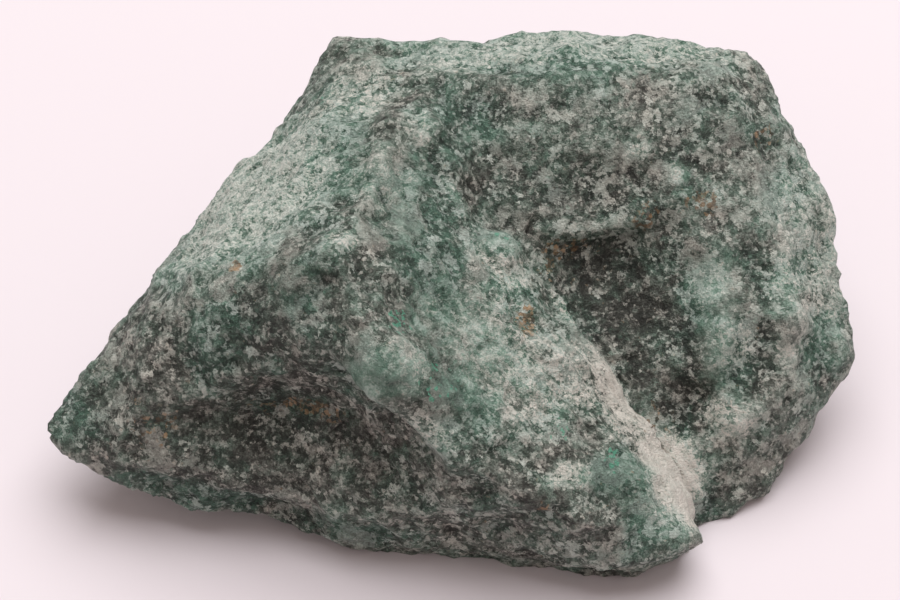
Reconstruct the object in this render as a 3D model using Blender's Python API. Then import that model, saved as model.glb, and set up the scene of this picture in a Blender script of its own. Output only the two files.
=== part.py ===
"""Raw aventurine: one broken chunk of green foliated quartzite, 60 mm long.

The chunk is two fracture blocks grown together: a low left block that runs from the top edge
down to the front foot, and a right block whose hollow face meets it in a long slanting valley.
Each block is the convex hull of its named corners. Rays from a point inside the stone reach
the farther of the two blocks, and that meeting surface is then chipped, ledged and pitted.
The underside is cut flat where the stone rests. All lengths below are in millimetres.
Frame: +X right, +Y away from the front, +Z up, origin under the middle of the stone.
"""

import itertools

import bmesh
import bpy
import numpy as np

MILLIMETRE = 0.001

# Overall proportions: width, depth and height of the grid that is pushed onto the stone
GRID_SIZE = (60.0, 38.0, 24.0)
GRID_CUTS = 85
MOST_TRIANGLES = 9400

# Point inside the stone that every ray starts from
HEART = np.array([2.0, -1.0, 10.0])

# Corners of the left block, which carries the crest, the nose and the front foot
LEFT_BLOCK = {
    "top corner": (-8.8, 20.1, 19.4),
    "top edge": (-0.8, 19.2, 20.0),
    "left edge high": (-11.9, 16.9, 17.3),
    "left edge middle": (-19.3, 6.0, 12.7),
    "left edge low": (-28.3, -5.7, 8.8),
    "left tip top": (-29.8, -8.1, 7.8),
    "left tip bottom": (-29.5, -9.6, 6.9),
    "crest top": (-1.5, 12.6, 22.2),
    "crest peak": (-8.1, -5.5, 23.4),
    "shoulder high": (-13.7, -4.8, 21.4),
    "shoulder middle": (-18.4, -4.5, 18.3),
    "shoulder low": (-25.4, -4.9, 12.7),
    "nose top": (-5.6, -11.2, 20.8),
    "nose front": (-4.0, -13.6, 17.0),
    "nose bottom": (-1.4, -16.4, 14.3),
    "brow left": (3.6, -17.4, 12.1),
    "brow right": (8.0, -18.1, 9.5),
    "brow low": (12.9, -18.2, 6.2),
    "foot corner": (18.8, -17.1, 3.8),
    "foot rim right": (14.1, -18.1, 3.8),
    "foot rim left": (6.7, -18.0, 4.1),
    "lip left": (3.8, -16.5, 1.2),
    "lip middle": (12.8, -17.0, 0.0),
    "lip right": (17.3, -16.5, 0.4),
    "lower edge far left": (-26.0, -11.3, 5.0),
    "lower edge left": (-22.6, -12.3, 3.7),
    "lower edge middle": (-15.1, -13.0, 2.8),
    "lower edge right": (-7.9, -14.5, 1.4),
    "sole left front": (-13.0, -9.0, -0.2),
    "sole front": (-5.0, -15.0, -0.2),
    "sole right front": (18.5, -15.0, -0.2),
    "sole left back": (-15.0, 5.0, -0.2),
    "sole back left": (-8.0, 15.0, -0.2),
    "sole back right": (15.0, 15.0, -0.2),
    "back left": (-8.0, 20.0, 8.0),
    "left side": (-18.0, 8.0, 6.0),
}

# Corners of the right block, which carries the top strip and the hollow right face
RIGHT_BLOCK = {
    "top left": (-3.9, 19.6, 19.6),
    "top middle": (7.4, 19.2, 20.6),
    "top right": (22.1, 18.4, 20.6),
    "right corner": (23.1, 17.5, 20.4),
    "brink left": (0.4, 11.9, 22.7),
    "brink middle": (11.4, 12.5, 23.4),
    "brink right": (20.2, 13.7, 22.5),
    "right edge high": (25.9, 13.6, 17.8),
    "right edge middle": (29.3, 7.1, 13.1),
    "right edge low": (30.2, 2.4, 9.7),
    "right tip top": (30.7, -1.6, 7.1),
    "right tip bottom": (30.1, -3.3, 5.6),
    "lower right edge": (25.3, -8.7, 1.7),
    "lower right foot": (22.6, -10.9, 0.6),
    "notch": (20.8, -12.3, 0.0),
    "valley left": (-1.5, -7.8, 9.0),
    "valley foot": (14.3, -14.1, 2.4),
    "valley top": (-3.8, 11.0, 19.6),
    "right shoulder high": (23.5, 5.9, 17.3),
    "right shoulder middle": (25.4, -1.3, 11.8),
    "right shoulder low": (24.6, -6.4, 7.3),
    "right shoulder foot": (19.3, -11.8, 3.1),
    "sole front right": (24.0, -9.0, -0.2),
    "sole right": (27.0, -2.0, -0.2),
    "sole right back": (26.0, 8.0, -0.2),
    "sole back right": (20.0, 15.0, -0.2),
    "sole back left": (-6.0, 15.0, -0.2),
    "sole left": (-5.0, -10.0, -0.2),
    "sole front": (18.0, -14.0, -0.2),
    "back low left": (0.0, 20.0, 8.0),
    "back low right": (18.0, 19.0, 8.0),
}

# The hull corners stand this far in from the rounded surface
CORNER_ALLOWANCE = 0.2
# Higher is a crisper edge between fracture faces
EDGE_CRISPNESS = 110
# Lower spreads each edge wider when the outward direction is blended
FACING_BLEND = 25
# Faces of a block within this angle count as one
SAME_FACE_ANGLE = np.radians(2.5)

# The mica lies in one bed, whose normal leans back and down
BED_NORMAL = np.array([0.0, 0.84, -0.54])

# Hollows: centre, radii across X, Y and Z, depth
HOLLOWS = {
    "wide bowl of the right face": ((11.5, 2.5, 16.0), (12.0, 11.0, 11.0), 1.0),
    "arch of the lower edge": ((-12.8, -14.4, 3.6), (6.5, 4.0, 3.2), 1.5),
    "pocket under the brow": ((7.0, -17.0, 8.7), (2.2, 2.2, 1.7), 0.8),
    "left edge dip": ((-14.3, 10.0, 17.0), (3.5, 3.5, 4.0), 0.7),
    "top left saddle": ((-3.0, 15.5, 22.0), (3.0, 4.0, 3.0), 0.5),
    "right rim nick": ((27.0, 8.5, 15.5), (2.2, 3.0, 2.5), 0.5),
    "back scoop left": ((-2.0, 19.5, 9.0), (9.0, 5.0, 7.0), 1.6),
    "back scoop right": ((16.0, 19.5, 13.0), (7.0, 5.0, 7.0), 1.3),
    "left underside scoop": ((-20.0, -4.0, 4.0), (7.0, 8.0, 4.0), 1.0),
    "sole hollow left": ((-6.5, 4.5, 0.0), (6.5, 4.5, 3.0), 1.6),
    "sole hollow right": ((15.0, 6.5, 0.0), (5.0, 6.5, 3.0), 1.4),
    "sole hollow front": ((4.5, -8.5, 0.0), (7.0, 3.0, 3.0), 1.1),
    "sole nick": ((22.5, -6.5, 0.0), (3.0, 3.0, 3.0), 1.0),
}

# Hollows with a broken brink: centre, radii, depth, a point on the brink and the way down from it
BROKEN_HOLLOWS = {
    "front face": ((-10.5, -13.2, 13.2), (16.0, 8.0, 8.0), 4.2, (-3.4, -15.0, 14.9), (-0.55, 0.1, -0.8)),
    "bowl below the shelf": ((12.6, 0.2, 14.2), (7.6, 7.0, 7.0), 2.1, (12.8, 2.7, 16.6), (0.2, -0.8, -0.6)),
    "bowl beside the patch": ((18.4, -7.2, 7.6), (3.6, 4.6, 4.0), 0.9, (18.0, -5.6, 8.8), (-0.5, -0.7, -0.5)),
    "front bed": ((-15.0, -12.4, 9.6), (10.0, 6.0, 4.4), 0.8, (-14.0, -12.6, 13.2), (-0.2, -0.1, -1.0)),
}

BRINK_WIDTH = 1.3

# Lumps: centre, radii across X, Y and Z, height
LUMPS = {
    "nose": ((-5.0, -12.8, 18.6), (3.6, 3.2, 4.0), 1.1),
    "crest top": ((-1.6, 8.0, 21.8), (1.5, 1.9, 1.5), 0.7),
    "crest middle": ((-4.8, 3.7, 23.2), (1.6, 2.4, 1.6), 0.45),
    "crest peak": ((-8.3, -6.0, 23.4), (2.0, 1.8, 1.6), 0.6),
    "valley block": ((4.1, 0.6, 17.0), (2.4, 2.0, 2.0), 1.0),
    "raised patch": ((20.0, -3.2, 11.1), (2.1, 4.6, 3.6), 1.0),
    "lower patch": ((20.9, -7.6, 7.6), (2.6, 1.9, 1.8), 0.8),
    "front scab": ((-16.4, -10.9, 14.7), (2.9, 1.9, 1.5), 0.7),
    "right lump": ((25.7, -1.9, 11.3), (2.2, 2.6, 2.2), 0.6),
    "right tip lump": ((29.2, -2.0, 8.0), (1.8, 2.0, 1.8), 0.5),
    "brink lump": ((7.6, 11.4, 22.9), (1.6, 1.8, 1.6), 0.5),
    "brink right lump": ((18.2, 12.0, 22.3), (1.7, 2.2, 1.7), 0.5),
    "upper face grain": ((14.4, 7.4, 19.7), (1.3, 1.3, 1.3), 0.35),
    "upper face grain right": ((16.8, 6.2, 18.7), (1.5, 1.2, 1.3), 0.4),
    "foot scab": ((11.1, -11.7, 10.2), (2.4, 2.0, 1.6), 0.45),
    "foot scab low": ((14.2, -14.8, 7.8), (2.0, 1.8, 1.4), 0.5),
    "back knob": ((9.0, 20.0, 7.0), (4.0, 3.0, 4.0), 0.9),
}

# Splinter ledges: two ends, half width, height
LEDGES = {
    "valley splinter high": ((-1.2, 7.6, 21.4), (2.2, 0.8, 18.3), 0.75, 0.6),
    "valley splinter middle": ((5.0, -2.6, 15.8), (11.0, -7.4, 11.3), 0.7, 0.65),
    "valley splinter beside": ((7.2, -6.8, 13.8), (13.6, -11.0, 8.8), 0.8, 0.5),
    "valley splinter low": ((13.4, -8.6, 8.6), (19.2, -13.4, 3.9), 0.75, 0.6),
    "crest splinter": ((-3.6, 11.4, 22.3), (-6.6, -1.0, 23.6), 0.9, 0.4),
    "left shoulder": ((-9.0, -5.6, 23.2), (-25.0, -4.2, 12.0), 1.2, 0.4),
    "foot rim": ((4.0, -18.2, 4.6), (18.4, -17.6, 4.4), 0.9, 0.5),
    "front bed high": ((-22.0, -9.2, 11.0), (-8.6, -13.8, 14.6), 0.8, 0.4),
    "front bed low": ((-24.0, -11.4, 7.0), (-3.0, -15.8, 8.6), 0.9, 0.45),
}

# Broken texture: size of the chips across, height, stretch across the beds, tilt, number
CHIPS = (
    (9.0, 1.25, 1.3, 1.1, 399),
    (4.2, 0.75, 1.7, 1.0, 147),
    (2.1, 0.32, 2.0, 0.8, 313),
)
# Slow swelling of the faces and wandering of the edges: size, height, number
SWELL = (13.0, 0.45, 209)
WANDER = (7.0, 0.55, 250)

STONE_COLOUR = (0.155, 0.195, 0.16, 1.0)
STONE_ROUGHNESS = 0.62
SMOOTH_BELOW_ANGLE = np.radians(38)


def bed_axes():
    """Three unit directions as columns: two in the bed of the mica, then its normal."""
    normal = BED_NORMAL / np.linalg.norm(BED_NORMAL)
    across = np.array([1.0, 0.0, 0.0])
    return np.stack([across, np.cross(normal, across), normal], 1)


BED = bed_axes()


def scatter(cell, number):
    """A repeatable number from 0 to 1 for each whole-number cell, by mixing its three indices."""
    index = cell.astype(np.int64)
    mix = index[..., 0] * 73856093 ^ index[..., 1] * 19349663 ^ index[..., 2] * 83492791
    mix = (mix ^ (number * 2654435761)) & 0xFFFFFFFF
    mix = ((mix ^ (mix >> 13)) * 1274126177) & 0xFFFFFFFF
    mix = ((mix ^ (mix >> 16)) * 2246822519) & 0xFFFFFFFF
    return ((mix ^ (mix >> 13)) & 0xFFFFFF) / float(0xFFFFFF)


def scatter_point(cell, number):
    """Three such numbers for each cell."""
    return np.stack([scatter(cell, number + axis) for axis in range(3)], -1)


def swelling(points, size, number):
    """Smooth noise from -1 to 1: cell corner values blended with 6f^5 - 15f^4 + 10f^3."""
    place = points / size
    cell = np.floor(place)
    part = place - cell
    part = part**3 * (part * (part * 6 - 15) + 10)
    total = np.zeros(len(points))
    for corner in itertools.product((0, 1), repeat=3):
        weight = np.prod(np.where(np.array(corner) == 1, part, 1 - part), -1)
        total += weight * scatter(cell + corner, number)
    return 2 * total - 1


def chipping(points, size, stretch, tilt, number):
    """Shallow scoops side by side: the least over nearby seeds s of |p - s|^2 + tilt t.(p - s)."""
    place = (points @ BED) * np.array([1.0, 1.0, stretch]) / size
    cell = np.floor(place)
    least = np.full(len(points), 9.0)
    for step in itertools.product((-1, 0, 1), repeat=3):
        seed = cell + step
        away = place - seed - scatter_point(seed, number)
        lean = scatter_point(seed, number + 7) - 0.5
        least = np.minimum(least, (away * away).sum(-1) + tilt * (away * lean).sum(-1))
    return least


def faces_of_block(corners):
    """Outward normals and distances from the heart of the planes round a block's corners."""
    hull = bmesh.new()
    for corner in corners.values():
        hull.verts.new(np.subtract(corner, HEART))
    bmesh.ops.convex_hull(hull, input=hull.verts)
    bmesh.ops.dissolve_limit(hull, angle_limit=SAME_FACE_ANGLE, verts=hull.verts, edges=hull.edges)
    hull.normal_update()
    normals = np.array([face.normal for face in hull.faces])
    middles = np.array([face.calc_center_median() for face in hull.faces])
    hull.free()
    reach = (normals * middles).sum(1)
    normals *= np.sign(reach)[:, None]
    return normals, np.abs(reach) + CORNER_ALLOWANCE


def reach_of_block(rays, block):
    """Length of each ray inside a block, 1 / (sum over faces of ((n.d)/h)^k)^(1/k), and facing."""
    normals, reach = block
    crossing = np.maximum(rays @ normals.T, 0.001) / reach
    nearest = crossing.max(1, keepdims=True)
    share = crossing / nearest
    length = 1 / (nearest[:, 0] * (share**EDGE_CRISPNESS).sum(1) ** (1 / EDGE_CRISPNESS))
    facing = share**FACING_BLEND @ normals
    return length, facing / np.linalg.norm(facing, axis=1, keepdims=True)


def spot(points, centre, radii):
    """A soft spot, (1 - q^2)^2 inside the ellipsoid q = 1 and nothing outside it."""
    inside = 1 - (((points - centre) / radii) ** 2).sum(1)
    return np.clip(inside, 0, 1) ** 2


def streak(points, start, end, half_width):
    """A ridge along a segment, exp(-(distance / half width)^2), fading out at both ends."""
    start = np.array(start)
    run = np.array(end) - start
    along = np.clip((points - start) @ run / (run @ run), 0, 1)
    away = np.linalg.norm(points - start - along[:, None] * run, axis=1)
    fade = np.clip(4 * along * (1 - along) + 0.3, 0, 1)
    return fade * np.exp(-((away / half_width) ** 2))


def below_brink(points, brink, way_down, width):
    """Rises from 0 above a brink to 1 below it, as 3f^2 - 2f^3 over the brink's width."""
    way_down = np.array(way_down) / np.linalg.norm(way_down)
    part = np.clip((points - brink) @ way_down / width + 0.5, 0, 1)
    return part * part * (3 - 2 * part)


def stone_surface(rays):
    """Points where unit rays from the heart leave the stone, with its relief, in millimetres."""
    left, left_facing = reach_of_block(rays, faces_of_block(LEFT_BLOCK))
    right, right_facing = reach_of_block(rays, faces_of_block(RIGHT_BLOCK))
    farther = (left > right)[:, None]
    facing = np.where(farther, left_facing, right_facing)
    points = HEART + rays * np.maximum(left, right)[:, None]
    size, height, number = WANDER
    bend = np.stack([swelling(points, size, number + axis) for axis in range(3)], -1)
    relief = np.zeros(len(points))
    for centre, radii, depth in HOLLOWS.values():
        relief -= depth * spot(points, centre, radii)
    for centre, radii, depth, brink, way_down in BROKEN_HOLLOWS.values():
        broken = below_brink(points + 1.2 * bend, brink, way_down, BRINK_WIDTH)
        relief -= depth * broken * spot(points, centre, radii)
    for centre, radii, rise in LUMPS.values():
        relief += rise * spot(points + 0.3 * bend, centre, radii) ** 0.75
    for start, end, half_width, rise in LEDGES.values():
        relief += rise * streak(points + 0.5 * bend, start, end, half_width)
    relief += SWELL[1] * swelling(points, SWELL[0], SWELL[2])
    for chip, rise, stretch, tilt, seed in CHIPS:
        scoops = chipping(points + 0.4 * bend, chip, stretch, tilt, seed)
        relief += rise * (np.clip(scoops, -0.4, 0.7) - 0.2)
    points = points + height * bend + facing * relief[:, None]
    points[:, 2] = np.maximum(points[:, 2], 0)
    return points


def grid_of_rays():
    """A closed square grid on a block of the stone's proportions, as a mesh."""
    grid = bmesh.new()
    bmesh.ops.create_cube(grid, size=1)
    bmesh.ops.subdivide_edges(grid, edges=grid.edges, cuts=GRID_CUTS, use_grid_fill=True)
    for axis, length in enumerate(GRID_SIZE):
        for vertex in grid.verts:
            vertex.co[axis] *= length
    mesh = bpy.data.meshes.new("stone grid")
    grid.to_mesh(mesh)
    grid.free()
    return mesh


def positions(mesh):
    """The mesh's points as an array of rows."""
    flat = np.empty(len(mesh.vertices) * 3, np.float32)
    mesh.vertices.foreach_get("co", flat)
    return flat.reshape(-1, 3).astype(np.float64)


def stand_on_origin(mesh):
    """Moves the mesh so that the middle of its box is over the origin and its sole is at 0."""
    points = positions(mesh)
    low, high = points.min(0), points.max(0)
    points -= [(low[0] + high[0]) / 2, (low[1] + high[1]) / 2, low[2]]
    sole = points[:, 2] < 0.04 * MILLIMETRE
    points[sole, 2] = 0
    mesh.vertices.foreach_set("co", points.astype(np.float32).ravel())
    mesh.update()


def stone_material():
    """Dull green quartz with a little gloss."""
    material = bpy.data.materials.new("aventurine")
    material.use_nodes = True
    shader = material.node_tree.nodes["Principled BSDF"]
    shader.inputs["Base Color"].default_value = STONE_COLOUR
    shader.inputs["Roughness"].default_value = STONE_ROUGHNESS
    shader.inputs["Metallic"].default_value = 0.0
    return material


for leftover in list(bpy.data.objects):
    bpy.data.objects.remove(leftover, do_unlink=True)

collection = bpy.data.collections.new("raw aventurine")
bpy.context.scene.collection.children.link(collection)

fine = grid_of_rays()
block_points = positions(fine)
rays = block_points / np.linalg.norm(block_points, axis=1, keepdims=True)
surface = stone_surface(rays) * MILLIMETRE
fine.vertices.foreach_set("co", surface.astype(np.float32).ravel())
fine.update()

stone = bpy.data.objects.new("aventurine_stone", fine)
collection.objects.link(stone)
thin = stone.modifiers.new("fewer faces on flat ground", "DECIMATE")
thin.decimate_type = "COLLAPSE"
thin.use_collapse_triangulate = True
thin.ratio = MOST_TRIANGLES / (2 * len(fine.polygons))

bpy.context.view_layer.update()
graph = bpy.context.evaluated_depsgraph_get()
coarse = bpy.data.meshes.new_from_object(stone.evaluated_get(graph))
coarse.name = "aventurine stone"
stone.modifiers.clear()
stone.data = coarse
stand_on_origin(coarse)
coarse.materials.append(stone_material())
coarse.shade_smooth()
coarse.set_sharp_from_angle(angle=SMOOTH_BELOW_ANGLE)
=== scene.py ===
# %% [markdown]
# # A raw piece of aventurine
#
# This lesson dresses one broken chunk of green aventurine quartzite, 61 mm long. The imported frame
# already holds the solid stone. Here it gets a finer surface, with splinters and chips too small
# for the solid, and the finish of broken quartz: grey green grains, milky patches, pale crushed
# quartz, small rust specks and a few glints of mica. A soft studio light comes from above and
# behind.

import itertools
import math

import bmesh
import bpy
import numpy as np
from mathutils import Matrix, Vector


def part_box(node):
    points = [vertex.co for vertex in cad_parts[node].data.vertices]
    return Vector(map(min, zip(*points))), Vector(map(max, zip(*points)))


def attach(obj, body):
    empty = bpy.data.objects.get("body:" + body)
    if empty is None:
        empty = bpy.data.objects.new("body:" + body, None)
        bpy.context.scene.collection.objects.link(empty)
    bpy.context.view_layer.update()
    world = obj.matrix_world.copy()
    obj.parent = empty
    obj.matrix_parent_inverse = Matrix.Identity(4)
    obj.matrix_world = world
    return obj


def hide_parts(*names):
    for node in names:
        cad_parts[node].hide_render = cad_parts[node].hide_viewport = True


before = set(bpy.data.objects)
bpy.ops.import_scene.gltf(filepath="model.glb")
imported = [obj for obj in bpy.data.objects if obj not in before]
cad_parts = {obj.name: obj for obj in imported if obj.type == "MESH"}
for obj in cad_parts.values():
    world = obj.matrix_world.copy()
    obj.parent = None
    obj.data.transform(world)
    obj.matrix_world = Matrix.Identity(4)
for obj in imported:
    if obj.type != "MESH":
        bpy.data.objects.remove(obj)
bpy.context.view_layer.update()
MILLIMETRE = 0.001
NODE = "aventurine_stone"

# %% [markdown]
# ## The two fracture blocks
#
# A broken stone is mostly flat fracture faces that meet in crests and valleys. This one reads as
# two blocks grown together. The left block carries the crest, the nose and the front foot, and the
# right block carries the top strip and the hollow right face. Each could be sculpted by hand, but
# naming the corners where the faces meet keeps every crest where it belongs, and the convex hull
# of those corners gives the flat faces between them. Corners are in millimetres.

# %% Name the corners of both blocks
HEART = np.array([2.0, -1.0, 10.0])
LEFT_BLOCK = {
    "top corner": (-8.8, 20.1, 19.4),
    "top edge": (-0.8, 19.2, 20.0),
    "left edge high": (-11.9, 16.9, 17.3),
    "left edge middle": (-19.3, 6.0, 12.7),
    "left edge low": (-28.3, -5.7, 8.8),
    "left tip top": (-29.8, -8.1, 7.8),
    "left tip bottom": (-29.5, -9.6, 6.9),
    "crest top": (-1.5, 12.6, 22.2),
    "crest peak": (-8.1, -5.5, 23.4),
    "shoulder high": (-13.7, -4.8, 21.4),
    "shoulder middle": (-18.4, -4.5, 18.3),
    "shoulder low": (-25.4, -4.9, 12.7),
    "nose top": (-5.6, -11.2, 20.8),
    "nose front": (-4.0, -13.6, 17.0),
    "nose bottom": (-1.4, -16.4, 14.3),
    "brow left": (3.6, -17.4, 12.1),
    "brow right": (8.0, -18.1, 9.5),
    "brow low": (12.9, -18.2, 6.2),
    "foot corner": (18.8, -17.1, 3.8),
    "foot rim right": (14.1, -18.1, 3.8),
    "foot rim left": (6.7, -18.0, 4.1),
    "lip left": (3.8, -16.5, 1.2),
    "lip middle": (12.8, -17.0, 0.0),
    "lip right": (17.3, -16.5, 0.4),
    "lower edge far left": (-26.0, -11.3, 5.0),
    "lower edge left": (-22.6, -12.3, 3.7),
    "lower edge middle": (-15.1, -13.0, 2.8),
    "lower edge right": (-7.9, -14.5, 1.4),
    "sole left front": (-13.0, -9.0, -0.2),
    "sole front": (-5.0, -15.0, -0.2),
    "sole right front": (18.5, -15.0, -0.2),
    "sole left back": (-15.0, 5.0, -0.2),
    "sole back left": (-8.0, 15.0, -0.2),
    "sole back right": (15.0, 15.0, -0.2),
    "back left": (-8.0, 20.0, 8.0),
    "left side": (-18.0, 8.0, 6.0),
}
RIGHT_BLOCK = {
    "top left": (-3.9, 19.6, 19.6),
    "top middle": (7.4, 19.2, 20.6),
    "top right": (22.1, 18.4, 20.6),
    "right corner": (23.1, 17.5, 20.4),
    "brink left": (0.4, 11.9, 22.7),
    "brink middle": (11.4, 12.5, 23.4),
    "brink right": (20.2, 13.7, 22.5),
    "right edge high": (25.9, 13.6, 17.8),
    "right edge middle": (29.3, 7.1, 13.1),
    "right edge low": (30.2, 2.4, 9.7),
    "right tip top": (30.7, -1.6, 7.1),
    "right tip bottom": (30.1, -3.3, 5.6),
    "lower right edge": (25.3, -8.7, 1.7),
    "lower right foot": (22.6, -10.9, 0.6),
    "notch": (20.8, -12.3, 0.0),
    "valley left": (-1.5, -7.8, 9.0),
    "valley foot": (14.3, -14.1, 2.4),
    "valley top": (-3.8, 11.0, 19.6),
    "right shoulder high": (23.5, 5.9, 17.3),
    "right shoulder middle": (25.4, -1.3, 11.8),
    "right shoulder low": (24.6, -6.4, 7.3),
    "right shoulder foot": (19.3, -11.8, 3.1),
    "sole front right": (24.0, -9.0, -0.2),
    "sole right": (27.0, -2.0, -0.2),
    "sole right back": (26.0, 8.0, -0.2),
    "sole back right": (20.0, 15.0, -0.2),
    "sole back left": (-6.0, 15.0, -0.2),
    "sole left": (-5.0, -10.0, -0.2),
    "sole front": (18.0, -14.0, -0.2),
    "back low left": (0.0, 20.0, 8.0),
    "back low right": (18.0, 19.0, 8.0),
}
print("Named corners:", len(LEFT_BLOCK), "left,", len(RIGHT_BLOCK), "right")

# %% [markdown]
# ## From corners to planes
#
# Blender's convex hull wraps each set of corners in flat faces. Every face is then kept as a plane,
# an outward normal n and its distance h from a point inside the stone. A ray in direction d leaves
# the block where the first plane stops it. A sharp minimum would give knife edges, so a power mean
# with a high exponent rounds each edge by a few tenths of a millimetre, as handling does.

# %% Turn a block into planes, and rays into points on it
CORNER_ALLOWANCE = 0.2
EDGE_CRISPNESS = 110
FACING_BLEND = 25
SAME_FACE_ANGLE = math.radians(2.5)


def faces_of_block(corners):
    """Outward normals and distances from the heart of the planes round a block's corners."""
    hull = bmesh.new()
    for corner in corners.values():
        hull.verts.new(np.subtract(corner, HEART))
    bmesh.ops.convex_hull(hull, input=hull.verts)
    bmesh.ops.dissolve_limit(hull, angle_limit=SAME_FACE_ANGLE, verts=hull.verts, edges=hull.edges)
    hull.normal_update()
    normals = np.array([face.normal for face in hull.faces])
    middles = np.array([face.calc_center_median() for face in hull.faces])
    hull.free()
    reach = (normals * middles).sum(1)
    normals *= np.sign(reach)[:, None]
    return normals, np.abs(reach) + CORNER_ALLOWANCE


def reach_of_block(rays, block):
    """Length of each ray inside a block, 1 / (sum over faces of ((n.d)/h)^k)^(1/k), and facing."""
    normals, reach = block
    crossing = np.maximum(rays @ normals.T, 0.001) / reach
    nearest = crossing.max(1, keepdims=True)
    share = crossing / nearest
    length = 1 / (nearest[:, 0] * (share**EDGE_CRISPNESS).sum(1) ** (1 / EDGE_CRISPNESS))
    facing = share**FACING_BLEND @ normals
    return length, facing / np.linalg.norm(facing, axis=1, keepdims=True)


left_planes = faces_of_block(LEFT_BLOCK)
right_planes = faces_of_block(RIGHT_BLOCK)
print("Planes:", len(left_planes[0]), "left,", len(right_planes[0]), "right")

# %% [markdown]
# ## Patterns of broken rock
#
# Three rules make the relief. Swelling is smooth noise that bends faces and edges a little.
# Chipping sets shallow scoops side by side, so sharp ridges stand between them, the way brittle
# quartz breaks. Plates are small flat facets, each tilted its own way, with a step to the next one.
# The mica lies in one plane through the whole stone, so scoops and plates are thinner across it.

# %% Noise on whole arrays of points
BED_NORMAL = np.array([0.0, 0.84, -0.54])


def bed_axes():
    """Three unit directions as columns: two in the bed of the mica, then its normal."""
    normal = BED_NORMAL / np.linalg.norm(BED_NORMAL)
    across = np.array([1.0, 0.0, 0.0])
    return np.stack([across, np.cross(normal, across), normal], 1)


def scatter(cell, number):
    """A repeatable number from 0 to 1 for each whole-number cell, by mixing its three indices."""
    index = cell.astype(np.int64)
    mix = index[..., 0] * 73856093 ^ index[..., 1] * 19349663 ^ index[..., 2] * 83492791
    mix = (mix ^ (number * 2654435761)) & 0xFFFFFFFF
    mix = ((mix ^ (mix >> 13)) * 1274126177) & 0xFFFFFFFF
    mix = ((mix ^ (mix >> 16)) * 2246822519) & 0xFFFFFFFF
    return ((mix ^ (mix >> 13)) & 0xFFFFFF) / float(0xFFFFFF)


def scatter_point(cell, number):
    """Three such numbers for each cell."""
    return np.stack([scatter(cell, number + axis) for axis in range(3)], -1)


def swelling(points, size, number):
    """Smooth noise from -1 to 1: cell corner values blended with 6f^5 - 15f^4 + 10f^3."""
    place = points / size
    cell = np.floor(place)
    part = place - cell
    part = part**3 * (part * (part * 6 - 15) + 10)
    total = np.zeros(len(points))
    for corner in itertools.product((0, 1), repeat=3):
        weight = np.prod(np.where(np.array(corner) == 1, part, 1 - part), -1)
        total += weight * scatter(cell + corner, number)
    return 2 * total - 1


def swelling_push(points, size, number):
    """Three swellings, one for each direction, with seeds that follow each other."""
    return np.stack([swelling(points, size, number + axis) for axis in range(3)], -1)


BED = bed_axes()


def chipping(points, size, stretch, tilt, number):
    """Shallow scoops side by side: the least over nearby seeds s of |p - s|^2 + tilt t.(p - s)."""
    place = (points @ BED) * np.array([1.0, 1.0, stretch]) / size
    cell = np.floor(place)
    least = np.full(len(points), 9.0)
    for step in itertools.product((-1, 0, 1), repeat=3):
        seed = cell + step
        away = place - seed - scatter_point(seed, number)
        lean = scatter_point(seed, number + 7) - 0.5
        least = np.minimum(least, (away * away).sum(-1) + tilt * (away * lean).sum(-1))
    return least


PLATE_SHARPNESS = 45
PLATE_TILT = 1.6
SMALLEST_PULL = 1e-12


def plates(points, size, stretch, number):
    """Broken plates: tilt * l.(p - s) + r of nearby seeds s, averaged by exp(-sharpness |p - s|^2)."""
    place = (points @ BED) * np.array([1.0, 1.0, stretch]) / size
    cell = np.floor(place)
    total = np.zeros(len(points))
    weight = np.full(len(points), 1e-9)
    for step in itertools.product((-1, 0, 1), repeat=3):
        seed = cell + step
        away = place - seed - scatter_point(seed, number)
        lean = scatter_point(seed, number + 7) - 0.5
        pull = np.exp(-PLATE_SHARPNESS * (away * away).sum(-1)) + SMALLEST_PULL
        total += pull * (PLATE_TILT * (away * lean).sum(-1) + scatter(seed, number + 11) - 0.5)
        weight += pull
    return total / weight


print("Mica bed directions as columns:\n", BED.round(2))

# %% [markdown]
# ## Hollows, lumps and splinters
#
# Some forms are not noise: the bowl of the right face under its broken shelf, the nose, the arch
# of the lower edge, the splinters beside the valley. Each gets a name, a place and a size. A spot
# is a soft ellipsoid bump, a brink cuts a hollow off along a broken line, and a streak is a ridge
# along a segment, wide for a ledge and thin for a splinter.

# %% Soft spots, brinks and streaks
HOLLOWS = {
    "wide bowl of the right face": ((11.5, 2.5, 16.0), (12.0, 11.0, 11.0), 1.0),
    "arch of the lower edge": ((-12.8, -14.4, 3.6), (6.5, 4.0, 3.2), 1.5),
    "pocket under the brow": ((7.0, -17.0, 8.7), (2.2, 2.2, 1.7), 0.8),
    "left edge dip": ((-14.3, 10.0, 17.0), (3.5, 3.5, 4.0), 0.7),
    "top left saddle": ((-3.0, 15.5, 22.0), (3.0, 4.0, 3.0), 0.5),
    "right rim nick": ((27.0, 8.5, 15.5), (2.2, 3.0, 2.5), 0.5),
    "back scoop left": ((-2.0, 19.5, 9.0), (9.0, 5.0, 7.0), 1.6),
    "back scoop right": ((16.0, 19.5, 13.0), (7.0, 5.0, 7.0), 1.3),
    "left underside scoop": ((-20.0, -4.0, 4.0), (7.0, 8.0, 4.0), 1.0),
    "sole hollow left": ((-6.5, 4.5, 0.0), (6.5, 4.5, 3.0), 1.6),
    "sole hollow right": ((15.0, 6.5, 0.0), (5.0, 6.5, 3.0), 1.4),
    "sole hollow front": ((4.5, -8.5, 0.0), (7.0, 3.0, 3.0), 1.1),
    "sole nick": ((22.5, -6.5, 0.0), (3.0, 3.0, 3.0), 1.0),
}
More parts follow.
